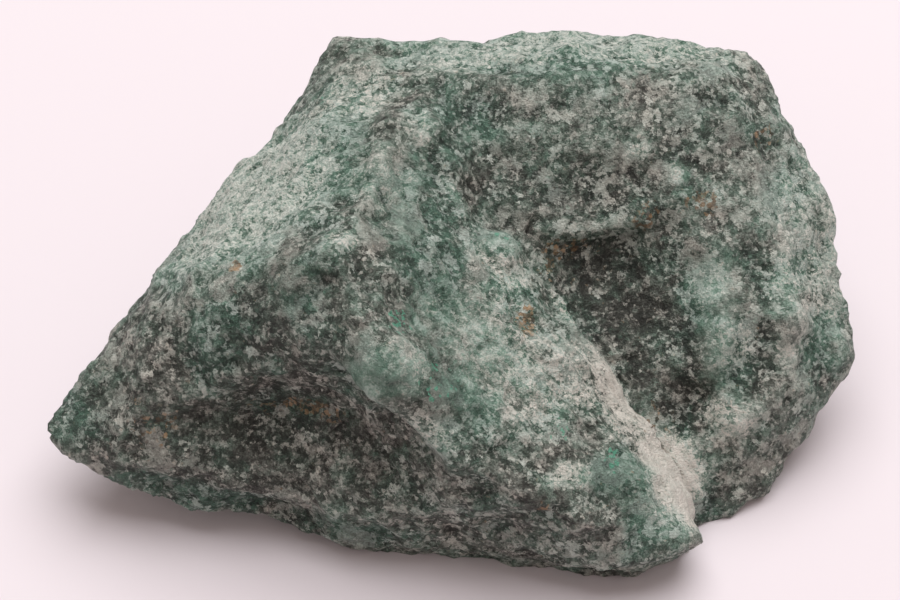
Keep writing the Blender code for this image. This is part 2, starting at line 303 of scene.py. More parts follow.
BROKEN_HOLLOWS = {
    "front face": (
        (-10.5, -13.2, 13.2), (16.0, 8.0, 8.0), 4.2, (-3.4, -15.0, 14.9), (-0.55, 0.1, -0.8)),
    "bowl below the shelf": (
        (12.6, 0.2, 14.2), (7.6, 7.0, 7.0), 2.1, (12.8, 2.7, 16.6), (0.2, -0.8, -0.6)),
    "bowl beside the patch": (
        (18.4, -7.2, 7.6), (3.6, 4.6, 4.0), 0.9, (18.0, -5.6, 8.8), (-0.5, -0.7, -0.5)),
    "front bed": (
        (-15.0, -12.4, 9.6), (10.0, 6.0, 4.4), 0.8, (-14.0, -12.6, 13.2), (-0.2, -0.1, -1.0)),
}
BRINK_WIDTH = 1.3
LUMPS = {
    "nose": ((-5.0, -12.8, 18.6), (3.6, 3.2, 4.0), 1.1),
    "crest top": ((-1.6, 8.0, 21.8), (1.5, 1.9, 1.5), 0.7),
    "crest middle": ((-4.8, 3.7, 23.2), (1.6, 2.4, 1.6), 0.45),
    "crest peak": ((-8.3, -6.0, 23.4), (2.0, 1.8, 1.6), 0.6),
    "valley block": ((4.1, 0.6, 17.0), (2.4, 2.0, 2.0), 1.0),
    "raised patch": ((20.0, -3.2, 11.1), (2.1, 4.6, 3.6), 1.0),
    "lower patch": ((20.9, -7.6, 7.6), (2.6, 1.9, 1.8), 0.8),
    "front scab": ((-16.4, -10.9, 14.7), (2.9, 1.9, 1.5), 0.7),
    "right lump": ((25.7, -1.9, 11.3), (2.2, 2.6, 2.2), 0.6),
    "right tip lump": ((29.2, -2.0, 8.0), (1.8, 2.0, 1.8), 0.5),
    "brink lump": ((7.6, 11.4, 22.9), (1.6, 1.8, 1.6), 0.5),
    "brink right lump": ((18.2, 12.0, 22.3), (1.7, 2.2, 1.7), 0.5),
    "upper face grain": ((14.4, 7.4, 19.7), (1.3, 1.3, 1.3), 0.35),
    "upper face grain right": ((16.8, 6.2, 18.7), (1.5, 1.2, 1.3), 0.4),
    "foot scab": ((11.1, -11.7, 10.2), (2.4, 2.0, 1.6), 0.45),
    "foot scab low": ((14.2, -14.8, 7.8), (2.0, 1.8, 1.4), 0.5),
    "back knob": ((9.0, 20.0, 7.0), (4.0, 3.0, 4.0), 0.9),
}
LEDGES = {
    "valley splinter high": ((-1.2, 7.6, 21.4), (2.2, 0.8, 18.3), 0.75, 0.6),
    "valley splinter middle": ((5.0, -2.6, 15.8), (11.0, -7.4, 11.3), 0.7, 0.65),
    "valley splinter beside": ((7.2, -6.8, 13.8), (13.6, -11.0, 8.8), 0.8, 0.5),
    "valley splinter low": ((13.4, -8.6, 8.6), (19.2, -13.4, 3.9), 0.75, 0.6),
    "crest splinter": ((-3.6, 11.4, 22.3), (-6.6, -1.0, 23.6), 0.9, 0.4),
    "left shoulder": ((-9.0, -5.6, 23.2), (-25.0, -4.2, 12.0), 1.2, 0.4),
    "foot rim": ((4.0, -18.2, 4.6), (18.4, -17.6, 4.4), 0.9, 0.5),
    "front bed high": ((-22.0, -9.2, 11.0), (-8.6, -13.8, 14.6), 0.8, 0.4),
    "front bed low": ((-24.0, -11.4, 7.0), (-3.0, -15.8, 8.6), 0.9, 0.45),
}
SPLINTERS = {
    "rim of the middle face": ((-0.5, 4.3, 20.3), (0.9, 2.2, 19.0), 0.35, 0.25),
    "rim of the valley block": ((2.1, 0.6, 17.6), (4.3, -0.7, 16.0), 0.45, 0.3),
    "long plate high": ((7.2, 0.3, 13.4), (9.6, -3.6, 11.6), 0.5, 0.35),
    "long plate low": ((9.9, -3.8, 11.3), (13.3, -7.2, 8.0), 0.4, 0.35),
    "long plate beside": ((9.0, -4.8, 12.0), (12.6, -8.6, 9.2), 0.3, 0.25),
    "valley edge": ((14.3, -8.4, 7.4), (19.6, -12.8, 2.2), 0.45, 0.3),
    "plate by the stain": ((3.7, -4.2, 15.8), (5.2, -7.2, 14.8), 0.6, 0.3),
    "chip by the valley": ((7.9, -6.0, 13.4), (8.6, -8.1, 12.8), 0.6, 0.3),
    "chip below": ((8.7, -8.8, 12.1), (10.1, -9.8, 11.0), 0.7, 0.3),
}


def spot(points, centre, radii):
    """A soft spot, (1 - q^2)^2 inside the ellipsoid q = 1 and nothing outside it."""
    inside = 1 - (((points - centre) / radii) ** 2).sum(1)
    return np.clip(inside, 0, 1) ** 2


def streak(points, start, end, half_width):
    """A ridge along a segment, exp(-(distance / half width)^2), fading out at both ends."""
    start = np.array(start)
    run = np.array(end) - start
    along = np.clip((points - start) @ run / (run @ run), 0, 1)
    away = np.linalg.norm(points - start - along[:, None] * run, axis=1)
    fade = np.clip(4 * along * (1 - along) + 0.3, 0, 1)
    return fade * np.exp(-((away / half_width) ** 2))


def below_brink(points, brink, way_down, width):
    """Rises from 0 above a brink to 1 below it, as 3f^2 - 2f^3 over the brink's width."""
    way_down = np.array(way_down) / np.linalg.norm(way_down)
    part = np.clip((points - brink) @ way_down / width + 0.5, 0, 1)
    return part * part * (3 - 2 * part)


print("Hollows:", len(HOLLOWS) + len(BROKEN_HOLLOWS), "and lumps:", len(LUMPS))
print("Ledges:", len(LEDGES), "and splinters:", len(SPLINTERS))

# %% [markdown]
# ## The grid
#
# A ball of latitude and longitude would crowd its points at two poles. Six square sheets, one for
# each side of a block with the stone's proportions, spread them evenly. Each sheet is a function
# of two parameters, and points shared by two sheets are counted once, so the surface is closed
# from the start. The block stands a little high and forward of the point where the rays start,
# which makes the squares finer on the faces that are seen and coarser below and behind.

# %% Six sheets of a block, sewn into one closed grid
GRID_SIZE = np.array([60.0, 38.0, 24.0])
GRID_STEPS = (192, 120, 78)
GRID_PLACE = np.array([-1.5, -3.0, 3.0])


def closed_grid(steps):
    """Whole-number points and square faces of a block's six sides, each point listed once."""
    sheets, faces, listed = [], [], 0
    for axis, far_side in itertools.product(range(3), (False, True)):
        across, up = (axis + 1) % 3, (axis + 2) % 3
        shape = (steps[across] + 1, steps[up] + 1)
        sheet = np.empty((*shape, 3), int)
        sheet[..., axis] = steps[axis] * far_side
        sheet[..., across], sheet[..., up] = np.indices(shape)
        order = listed + np.arange(shape[0] * shape[1]).reshape(shape)
        listed += order.size
        squares = np.stack([order[:-1, :-1], order[1:, :-1], order[1:, 1:], order[:-1, 1:]], -1)
        squares = squares.reshape(-1, 4)
        faces.append(squares if far_side else squares[:, ::-1])
        sheets.append(sheet.reshape(-1, 3))
    points, place = np.unique(np.concatenate(sheets), axis=0, return_inverse=True)
    return points, place.reshape(-1)[np.concatenate(faces)]


lattice, squares = closed_grid(GRID_STEPS)
block = (lattice / GRID_STEPS - 0.5) * GRID_SIZE + GRID_PLACE
rays = block / np.linalg.norm(block, axis=1, keepdims=True)
print("Grid:", len(lattice), "points,", len(squares), "squares")

# %% [markdown]
# ## Relief
#
# Everything above is added up along the direction in which the surface faces. The first layers are
# those of the solid, so the fine surface lies on it. The chips of a millimetre, the plates and the
# splinters are only here. The splinters come last, as thin ridges on the finished relief. The
# underside is cut flat where the stone rests.

# %% Push the grid onto the stone
CHIPS = (
    (9.0, 1.25, 1.3, 1.1, 399),
    (4.2, 0.75, 1.7, 1.0, 147),
    (2.1, 0.32, 2.0, 0.8, 313),
    (1.15, 0.17, 2.2, 0.8, 77),
)
SWELL = (13.0, 0.45, 209)
WANDER = (7.0, 0.55, 250)
PLATES = ((3.2, 0.28, 1.5, 41), (1.5, 0.16, 1.9, 57), (0.75, 0.08, 2.0, 63))
BEND = {"brinks": 1.2, "lumps": 0.3, "ledges": 0.5, "chips": 0.4, "plates": 0.3}
LUMP_STEEPNESS = 0.75
SCOOP_DEEPEST, SCOOP_RIM, SCOOP_LEVEL = -0.4, 0.7, 0.2


def stone_surface(rays):
    """Points where unit rays from the heart leave the stone, with its relief, in millimetres."""
    left, left_facing = reach_of_block(rays, left_planes)
    right, right_facing = reach_of_block(rays, right_planes)
    farther = (left > right)[:, None]
    facing = np.where(farther, left_facing, right_facing)
    points = HEART + rays * np.maximum(left, right)[:, None]
    size, height, number = WANDER
    bend = swelling_push(points, size, number)
    relief = np.zeros(len(points))
    for centre, radii, depth in HOLLOWS.values():
        relief -= depth * spot(points, centre, radii)
    for centre, radii, depth, brink, way_down in BROKEN_HOLLOWS.values():
        broken = below_brink(points + BEND["brinks"] * bend, brink, way_down, BRINK_WIDTH)
        relief -= depth * broken * spot(points, centre, radii)
    for centre, radii, rise in LUMPS.values():
        relief += rise * spot(points + BEND["lumps"] * bend, centre, radii) ** LUMP_STEEPNESS
    for start, end, half_width, rise in LEDGES.values():
        relief += rise * streak(points + BEND["ledges"] * bend, start, end, half_width)
    relief += SWELL[1] * swelling(points, SWELL[0], SWELL[2])
    for chip, rise, stretch, tilt, seed in CHIPS:
        scoops = chipping(points + BEND["chips"] * bend, chip, stretch, tilt, seed)
        relief += rise * (np.clip(scoops, SCOOP_DEEPEST, SCOOP_RIM) - SCOOP_LEVEL)
    for plate, rise, stretch, seed in PLATES:
        relief += rise * plates(points + BEND["plates"] * bend, plate, stretch, seed)
    points = points + height * bend + facing * relief[:, None]
    for start, end, half_width, rise in SPLINTERS.values():
        points += facing * rise * streak(points, start, end, half_width)[:, None]
    points[:, 2] = np.maximum(points[:, 2], 0)
    return points


raw_points = stone_surface(rays)
low, high = (np.array(corner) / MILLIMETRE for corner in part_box(NODE))
raw_low, raw_high = raw_points.min(0), raw_points.max(0)
SHIFT = (low + high) / 2 - (raw_low + raw_high) / 2
SHIFT[2] = 0.0
stone_points = raw_points + SHIFT
print("Shift onto the solid in millimetres:", SHIFT.round(3))
print("Fine surface box:", stone_points.min(0).round(2), stone_points.max(0).round(2))

# %% [markdown]
# ## The mesh
#
# The arrays go into the mesh in one piece each. Smooth shading suits it, because the squares are a
# third of a millimetre wide and every chip is real shape.

# %% Make the stone
def mesh_from_arrays(name, points, faces):
    """A mesh from point rows in millimetres and rows of four point numbers."""
    mesh = bpy.data.meshes.new(name)
    mesh.vertices.add(len(points))
    mesh.vertices.foreach_set("co", (points * MILLIMETRE).astype(np.float32).ravel())
    mesh.loops.add(faces.size)
    mesh.loops.foreach_set("vertex_index", faces.astype(np.int32).ravel())
    mesh.polygons.add(len(faces))
    mesh.polygons.foreach_set("loop_start", np.arange(0, faces.size, 4, dtype=np.int32))
    mesh.update(calc_edges=True)
    mesh.validate()
    mesh.shade_smooth()
    return mesh


stone_mesh = mesh_from_arrays("raw aventurine", stone_points, squares)
stone = bpy.data.objects.new("raw_aventurine", stone_mesh)
bpy.context.scene.collection.objects.link(stone)
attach(stone, "root")
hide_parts(NODE)
print("Stone:", len(stone_mesh.polygons) * 2, "triangles")

# %% [markdown]
# ## Where the stone is pale or dark, and where light and shade are painted
#
# The grains are the same all through, but every fracture face shows them differently. Faces broken
# along the mica look dark and granular, and faces broken across it look pale and streaky. Light and
# shade are painted into the same numbers: the upper left face and the top strip are paler where the
# lamp falls on them, and the front face, the place under the shoulder, the bowl, the line along the
# valley, the lip and the foot pocket are darker where shade falls. Where the blocks rubbed together
# the quartz is crushed to a whitish powder. These areas are kept as numbers on the points: each is
# the strongest of some soft spots at named places, with ragged edges.

# %% Pale and dark areas
# Pale spots: pale fracture faces and crushed quartz, with painted light on the upper left face and the
# top strip.
PALE_AND_LIT_AREAS = {
    "milk of the nose": ((-2.4, -12.6, 19.6), (1.9, 1.5, 1.7), 0.7),
    "upper left face": ((-15.0, 5.0, 18.0), (14.0, 14.0, 9.0), 0.72),
    "top strip": ((8.0, 17.0, 21.5), (24.0, 5.0, 4.5), 0.62),
    "middle face": ((5.0, -7.0, 15.0), (11.0, 12.0, 9.0), 0.6),
    "crushed band": ((16.2, -12.6, 5.6), (5.6, 6.4, 4.8), 1.0),
    "crest top": ((-2.6, 7.0, 22.8), (1.9, 3.2, 1.9), 0.5),
    "top left spot": ((-7.5, 13.0, 20.5), (5.0, 6.0, 4.0), 0.58),
    "crest middle": ((-5.0, 2.0, 22.6), (4.2, 6.4, 3.2), 0.5),
    "crest peak": ((-8.2, -4.6, 23.5), (2.6, 2.2, 1.8), 0.6),
    "below the nose": ((-1.6, -15.6, 14.4), (4.4, 2.4, 2.6), 0.5),
    "nose": ((-3.4, -12.8, 19.4), (4.8, 3.4, 3.8), 0.6),
    "white patch": ((-0.6, -6.6, 18.6), (2.2, 1.8, 1.8), 0.6),
    "valley block rim": ((3.4, -0.9, 16.6), (1.2, 0.8, 1.0), 0.7),
    "beside the rust": ((5.0, -5.6, 14.8), (1.5, 1.8, 1.8), 0.4),
    "valley block": ((4.6, 0.9, 17.2), (2.6, 2.2, 2.2), 0.72),
    "valley plate": ((7.6, -2.4, 13.6), (1.1, 2.6, 2.0), 0.5),
    "valley chip": ((7.9, -6.9, 12.9), (1.6, 1.2, 1.4), 0.4),
    "foot patch": ((8.6, -15.6, 10.2), (2.8, 2.0, 2.0), 0.7),
    "lower patch": ((21.0, -8.0, 7.2), (3.0, 2.6, 2.4), 0.68),
    "raised patch high": ((19.4, -0.8, 13.4), (2.8, 2.8, 2.8), 0.55),
    "raised patch low": ((21.2, -4.6, 11.2), (3.2, 3.4, 3.6), 0.66),
    "right lump": ((25.4, -3.8, 10.8), (1.6, 1.6, 1.6), 0.6),
    "right flank": ((27.5, 5.0, 13.0), (6.0, 14.0, 11.0), 0.52),
    "front scab": ((-18.0, -9.5, 12.8), (2.8, 2.0, 1.6), 0.6),
    "upper face grain": ((14.4, 7.6, 19.9), (1.3, 1.3, 1.2), 0.6),
    "upper face grain right": ((16.8, 6.4, 18.7), (1.4, 1.3, 1.2), 0.6),
    "brink lump": ((8.6, 12.2, 22.8), (1.5, 1.3, 1.2), 0.5),
    "upper right face": ((10.0, 10.0, 20.8), (14.0, 4.5, 4.0), 0.16),
    "shelf": ((11.0, 3.8, 15.8), (5.0, 1.8, 2.0), 0.3),
    "front patch": ((-7.8, -14.0, 9.1), (2.4, 1.8, 1.8), 0.35),
}
# Dark spots: dark fracture faces, with painted shade on the front face, under the shoulder, in the
# bowl, along the valley, at the lip and in the foot pocket.
DARK_AND_SHADED_AREAS = {
    "beside the block": ((2.6, -2.8, 16.4), (2.0, 2.2, 2.0), 0.2),
    "along the valley": ((7.0, -3.6, 13.6), (4.2, 3.4, 3.2), 0.3),
    "front face": ((-13.0, -11.5, 9.5), (20.0, 7.0, 11.0), 0.26),
    "front face low": ((-10.0, -12.0, 9.0), (14.0, 5.0, 3.6), 0.34),
    "under the shoulder": ((-14.0, -8.5, 17.5), (9.0, 4.0, 4.5), 0.14),
    "bowl": ((11.6, 0.0, 12.8), (8.0, 7.0, 5.4), 0.5),
    "foot of the bowl": ((15.8, -5.4, 9.0), (4.0, 5.6, 4.4), 0.28),
    "right face": ((7.0, 6.0, 18.0), (8.0, 6.0, 5.0), 0.05),
    "lip": ((11.0, -18.6, 2.4), (12.0, 3.5, 2.8), 0.3),
    "foot pocket": ((6.7, -18.0, 10.2), (2.4, 2.0, 2.2), 0.6),
    "brow": ((2.0, -16.8, 11.5), (5.0, 3.0, 4.0), 0.15),
    "left tip": ((-27.0, -9.0, 8.0), (4.0, 4.0, 4.0), 0.2),
}
print("Pale and dark areas:", len(PALE_AND_LIT_AREAS), len(DARK_AND_SHADED_AREAS))

# %% [markdown]
# ## Where the quartz is green, stained or milky, and where its glints are painted
#
# Green quartz gathers on the crest side and round the foot. Iron water has left rust in a few
# hollows and along the broken shelf. In a handful of places the mica lies flat in the face and
# glints, and those glints are painted into the colour as bright blue green grains. The nose and the
# middle face are milky: light spreads inside clear quartz there, so the grains look soft and cloudy.
# These are spots of the same kind as before.

# %% Green, rusty, glinting and milky areas
GREEN_AREAS = {
    "upper left face": ((-15.0, 5.0, 18.0), (14.0, 14.0, 9.0), 0.5),
    "top strip": ((6.0, 17.5, 21.0), (20.0, 4.5, 3.5), 0.45),
    "upper face left": ((0.5, 8.5, 20.5), (3.6, 5.0, 3.2), 0.6),
    "brink": ((9.0, 13.0, 23.0), (6.0, 3.0, 2.4), 0.5),
    "middle face": ((-2.0, -2.0, 19.5), (4.4, 8.0, 4.5), 0.45),
    "shoulder": ((-10.0, -6.8, 21.0), (5.0, 3.0, 3.0), 0.6),
    "under the shoulder": ((-17.0, -7.5, 16.5), (5.5, 3.4, 4.2), 0.6),
    "nose side": ((1.5, -13.2, 15.5), (5.0, 3.4, 3.4), 0.7),
    "nose": ((-5.6, -13.4, 18.8), (3.4, 2.8, 3.6), 0.65),
    "foot": ((12.5, -14.5, 8.8), (4.4, 3.4, 3.2), 0.65),
    "foot rim": ((14.5, -17.2, 5.8), (4.5, 2.2, 2.6), 0.7),
    "left tip": ((-27.5, -9.0, 8.0), (3.6, 3.2, 4.2), 0.7),
    "lower edge left": ((-20.0, -13.0, 4.6), (9.0, 3.2, 2.4), 0.7),
    "lower edge": ((-7.0, -15.6, 3.2), (8.0, 3.0, 2.2), 0.55),
    "raised patch high": ((19.0, -0.6, 13.6), (2.4, 2.8, 2.6), 0.5),
    "raised patch low": ((20.8, -5.4, 10.2), (2.8, 3.4, 3.4), 0.5),
    "right rim": ((28.8, -2.0, 8.5), (2.8, 4.4, 4.0), 0.55),
    "right flank": ((27.0, 8.0, 15.0), (4.5, 8.0, 6.0), 0.3),
    "valley block": ((4.2, 0.8, 17.3), (2.3, 2.3, 2.2), 0.9),
}
RUST_AREAS = {
    "left spot": ((-15.9, -3.8, 20.1), (0.9, 0.8, 0.9), 1.0),
    "beside the valley": ((5.8, -4.8, 14.7), (1.2, 2.0, 1.8), 1.0),
    "shelf left": ((9.0, 1.6, 14.5), (3.2, 2.6, 2.0), 0.62),
    "shelf middle": ((14.4, 3.6, 16.5), (1.7, 1.6, 1.6), 0.62),
    "shelf right": ((18.9, 4.7, 17.4), (1.7, 1.6, 1.6), 0.55),
    "top spot": ((-4.2, 14.9, 21.2), (0.8, 0.9, 1.2), 0.9),
    "front left": ((-22.0, -10.5, 9.5), (3.0, 2.4, 3.0), 0.42),
    "front line": ((-11.0, -10.4, 11.3), (6.5, 2.0, 1.1), 0.6),
    "foot pocket": ((7.0, -18.0, 9.6), (0.7, 0.9, 1.0), 1.0),
    "valley foot": ((15.0, -8.2, 7.2), (2.6, 2.8, 2.4), 0.42),
    "right rim": ((23.6, 9.8, 18.7), (1.5, 1.5, 1.5), 0.45),
}
PAINTED_GLINT_AREAS = {
    "below the peak": ((-3.6, -9.4, 20.3), (1.0, 1.7, 1.5), 1.0),
    "middle face": ((8.1, -12.7, 11.7), (0.8, 1.1, 1.2), 0.9),
    "foot": ((12.0, -13.7, 9.6), (1.0, 1.5, 1.3), 1.0),
    "valley block": ((4.2, 1.2, 17.6), (1.4, 1.4, 1.2), 0.7),
    "top left": ((-9.6, 13.4, 19.5), (0.8, 1.0, 1.0), 0.9),
    "nose side": ((-1.0, -12.4, 17.6), (3.0, 2.4, 2.4), 0.35),
}
MILKY_AREAS = {
    "middle face": ((0.5, -9.0, 17.0), (8.0, 8.5, 6.0), 0.9),
    "crest": ((-4.5, 1.5, 22.0), (4.5, 9.0, 3.5), 0.6),
    "nose": ((-4.8, -13.4, 18.6), (4.8, 4.0, 4.6), 0.95),
    "shoulder": ((-10.5, -6.6, 21.0), (7.0, 4.0, 4.0), 0.6),
    "foot": ((11.0, -15.0, 8.0), (8.0, 4.5, 4.5), 0.45),
    "top corner": ((-8.0, 16.0, 19.5), (4.0, 5.0, 3.5), 0.4),
    "valley block": ((4.4, 0.9, 17.3), (2.2, 1.9, 1.9), 0.8),
    "raised patch": ((20.2, -3.0, 12.0), (3.2, 5.2, 4.0), 0.5),
}
print("Green and rusty areas:", len(GREEN_AREAS), len(RUST_AREAS))
print("Glinting and milky areas:", len(PAINTED_GLINT_AREAS), len(MILKY_AREAS))

# %% [markdown]
# ## From named areas to numbers on the points
#
# The powder along the valley lies on the left block only, in a band beside the line where the two
# blocks meet, so it is measured from the gap between their lengths along each ray. It begins half
# way down the valley and ends above the floor. The splinters are paler than the face they stand
# on. Crests and pits are found by comparing every point with a smoothed copy of the surface. Crests
# turn paler, like crushed quartz, and pits darker, which is painted shade.

# %% Work out the areas and store them
RAGGED_SIZE = 2.2
FINE_RAGGED_SIZE = 0.8
FINE_RAGGED_SHARE = 0.4
AREA_FILL = 1.6
SPLINTER_PALE = 0.62
POWDER_WIDTH = 9.0
POWDER_FULL = 1.25
POWDER_RAGGED = 0.8
POWDER_PALE = 0.6
POWDER_FROM = (8.5, -3.5, 0.8)
POWDER_FADE = (4.0, 2.0, 2.5)
CREST_HEIGHT = 0.12
SMOOTHING_PASSES = 6
SMOOTHING_SHARE = 0.6


def areas(points, named, ragged):
    """The largest strength * min(1, fill * spot(p)), with p pushed about by ragged."""
    total = np.zeros(len(points))
    for centre, radii, strength in named.values():
        near = np.clip(AREA_FILL * spot(points + ragged, centre, radii), 0, 1)
        total = np.maximum(total, strength * near)
    return total


def neighbour_offset(points, faces):
    """Each point minus the mean of its neighbours, p - (sum of q) / n, over its faces."""
    total = np.zeros_like(points)
    count = np.bincount(faces.ravel(), minlength=len(points))
    for step in range(4):
        for axis in range(3):
            ahead = points[faces[:, (step + 1) % 4], axis]
            total[:, axis] += np.bincount(faces[:, step], weights=ahead, minlength=len(points))
    return points - total / count[:, None]


ragged = swelling_push(raw_points, RAGGED_SIZE, 31)
ragged += FINE_RAGGED_SHARE * swelling_push(raw_points, FINE_RAGGED_SIZE, 61)
pale = areas(raw_points, PALE_AND_LIT_AREAS, 0.7 * ragged) - areas(raw_points, DARK_AND_SHADED_AREAS, ragged)
for start, end, half_width, rise in SPLINTERS.values():
    plate_line = streak(raw_points + 0.2 * ragged, start, end, 1.3 * half_width)
    pale = np.maximum(pale, pale + (SPLINTER_PALE - pale) * np.clip(1.5 * plate_line, 0, 1))
gap = reach_of_block(rays, left_planes)[0] - reach_of_block(rays, right_planes)[0]
powder = np.clip(POWDER_FULL - (gap + POWDER_RAGGED * ragged[:, 0]) / POWDER_WIDTH, 0, 1)
powder *= gap > 0
powder *= np.clip((raw_points[:, 0] - POWDER_FROM[0]) / POWDER_FADE[0], 0, 1)
powder *= np.clip((POWDER_FROM[1] - raw_points[:, 1]) / POWDER_FADE[1], 0, 1)
powder *= np.clip((raw_points[:, 2] + ragged[:, 1] - POWDER_FROM[2]) / POWDER_FADE[2], 0, 1)
pale = np.where(powder > 0, np.maximum(pale, POWDER_PALE * powder), pale)
areas_now = {
    "pale": pale,
    "powder": powder,
    "green": areas(raw_points, GREEN_AREAS, ragged),
    "milky": areas(raw_points, MILKY_AREAS, ragged),
    "rust": areas(raw_points, RUST_AREAS, 0.5 * ragged),
    "teal": areas(raw_points, PAINTED_GLINT_AREAS, 0.5 * ragged),
}
normals = np.empty(len(stone_points) * 3, np.float32)
stone_mesh.vertices.foreach_get("normal", normals)
smooth_points = stone_points.copy()
for pass_number in range(SMOOTHING_PASSES):
    smooth_points = smooth_points - SMOOTHING_SHARE * neighbour_offset(smooth_points, squares)
# Positive on crests, which turn paler like crushed quartz; negative in pits, which turn darker as
# painted shade.
crest = ((stone_points - smooth_points) * normals.reshape(-1, 3)).sum(1)
areas_now["crest"] = np.clip(crest / CREST_HEIGHT, -1, 1)
for name, values in areas_now.items():
    layer = stone_mesh.attributes.new(name, "FLOAT", "POINT")
    layer.data.foreach_set("value", values.astype(np.float32))
    print(f"{name}: {values.min():.2f} to {values.max():.2f}, mean {values.mean():.2f}")

# %% [markdown]
# ## Writing a finish as arithmetic
#
# A finish is a web of small nodes. Written as one object per socket, with the usual signs of
# arithmetic, it reads like the sum it is. Each sign adds one Math node, and every other node comes
# from the same method: its kind, its settings, then what goes into its sockets.

# %% One class for the sockets
class Wire:
    """An output socket that can be added to, taken from, multiplied and compared."""

    def __init__(self, tree, socket=None):
        self.tree = tree
        self.socket = socket

    def node(self, kind, settings, sockets, output=0):
        """Adds a node, applies its settings, then fills its sockets with numbers or links."""
        made = self.tree.nodes.new(kind)
        for name, value in settings.items():
            if name == "stops":
                while len(made.color_ramp.elements) < len(value):
                    made.color_ramp.elements.new(1.0)
                for element, (position, colour) in zip(made.color_ramp.elements, value):
                    element.position = position
                    element.color = colour
            else:
                setattr(made, name, value)
        for name, value in sockets.items():
            if isinstance(value, Wire):
                self.tree.links.new(value.socket, made.inputs[name])
            else:
                made.inputs[name].default_value = value
        return Wire(self.tree, made.outputs[output] if made.outputs else None)

    def maths(self, operation, *values):
        """A Math node with the values in its sockets, in order."""
        return self.node("ShaderNodeMath", {"operation": operation}, dict(enumerate(values)))

    def __add__(self, other):
        return self.maths("ADD", self, other)

    def __radd__(self, other):
        return self.maths("ADD", other, self)

    def __sub__(self, other):
        return self.maths("SUBTRACT", self, other)

    def __rsub__(self, other):
        return self.maths("SUBTRACT", other, self)

    def __mul__(self, other):
        return self.maths("MULTIPLY", self, other)

    def __rmul__(self, other):
        return self.maths("MULTIPLY", other, self)

    def at_least(self, other):
        """The larger of this and the other."""
        return self.maths("MAXIMUM", self, other)

    def within(self):
        """The value kept from 0 to 1."""
        return self.maths("MINIMUM", self.maths("MAXIMUM", self, 0.0), 1.0)

    def rising(self, start, end):
        """0 below start and 1 above end, with a smooth rise between them."""
        settings = {"interpolation_type": "SMOOTHSTEP"}
        sockets = {"Value": self, "From Min": start, "From Max": end}
        return self.node("ShaderNodeMapRange", settings, sockets)


def blend(amount, first, second):
    """A mix of two colours, all of the second at amount 1."""
    return amount.node("ShaderNodeMix", {"data_type": "RGBA"}, {0: amount, 6: first, 7: second}, 2)


def paint(red, green, blue):
    """A display colour from 0 to 255 as the linear colour that nodes take."""
    shares = [channel / 255 for channel in (red, green, blue)]
    linear = [s / 12.92 if s <= 0.04045 else ((s + 0.055) / 1.055) ** 2.4 for s in shares]
    return (*linear, 1.0)


print("Mid green of the stone, linear:", [round(c, 3) for c in paint(95, 108, 98)])

# %% [markdown]
# ## The grains of broken aventurine
#
# Under a lens the stone is a felt of glassy quartz grains with dark green mica between them, and
# pale flakes of crushed quartz on top. The grains come in three sizes: plates of 2 mm, flakes of
# 0.8 mm and single grains of 0.3 mm. Each size is a pattern of cells with a random number in every
# cell. Plain cells would look like tiles, so the place is pushed about by fractal noise before it
# is looked up, which tears every edge. The pattern is turned into the mica bed and squeezed a
# little across it. Fractal noises from clouds to dust fill the sizes between.

# %% Grain pattern
SQUEEZE = 1.1
PLATE_GRAIN = (2.2, 1.6)
FLAKE_GRAIN = (0.8, 1.5)
SINGLE_GRAIN = (0.3, 1.1)

finish = bpy.data.materials.new("broken aventurine")
finish.use_nodes = True
tree = finish.node_tree
tree.nodes.clear()
web = Wire(tree)
place = web.node("ShaderNodeTexCoord", {}, {}, "Object")
bed_turn = math.atan2(BED[1, 2], BED[2, 2])
turned = web.node("ShaderNodeMapping", {}, {"Vector": place, "Rotation": (bed_turn, 0.0, 0.0)})
bed_scale = (1 / MILLIMETRE, 1 / MILLIMETRE, SQUEEZE / MILLIMETRE)
bed = web.node("ShaderNodeMapping", {}, {"Vector": turned, "Scale": bed_scale})


def noise(scale, detail, roughness, distortion=0.0):
    """Fractal noise from 0 to 1 in the bed's directions, about 1 / scale millimetres across."""
    sockets = {"Vector": bed, "Scale": scale, "Detail": detail, "Roughness": roughness}
    return web.node("ShaderNodeTexNoise", {}, {**sockets, "Distortion": distortion}, "Fac")


def stored(name):
    """The number kept on the points under a name."""
    return web.node("ShaderNodeAttribute", {"attribute_name": name}, {}, "Fac")


def grains(size, ragged):
    """Three random numbers for each grain of a size in millimetres: cell of (p + ragged * noise)."""
    push_sockets = {"Vector": bed, "Scale": 1.4 / size, "Detail": 4.0, "Roughness": 0.65}
    push = web.node("ShaderNodeTexNoise", {}, push_sockets, "Color")
    move_sockets = {0: push, 1: (ragged * size,) * 3, 2: bed}
    moved = web.node("ShaderNodeVectorMath", {"operation": "MULTIPLY_ADD"}, move_sockets)
    cell_sockets = {"Vector": moved, "Scale": 1 / size}
    cells = web.node("ShaderNodeTexVoronoi", {"feature": "F1"}, cell_sockets, "Color")
    return [web.node("ShaderNodeSeparateColor", {}, {"Color": cells}, part) for part in range(3)]


tone_with_painted_light_and_shade = stored("pale")
powder_area = stored("powder")
green_area = stored("green")
rust_area = stored("rust")
painted_glint_area = stored("teal")
milky_area = stored("milky")
crest_wear_and_pit_shade = stored("crest")

plate_tone, plate_pick, plate_hue = grains(*PLATE_GRAIN)
flake_tone, flake_pick, flake_hue = grains(*FLAKE_GRAIN)
grain_tone, grain_pick, grain_hue = grains(*SINGLE_GRAIN)
flecks = noise(1.1, 6.0, 0.75)
specks = noise(3.4, 3.0, 0.65, 0.2)
dust = noise(7.0, 2.0, 0.5)
cloud = noise(0.16, 2.0, 0.5)
milk = noise(0.4, 4.0, 0.55, 0.6)
print("Grain pattern nodes:", len(tree.nodes))
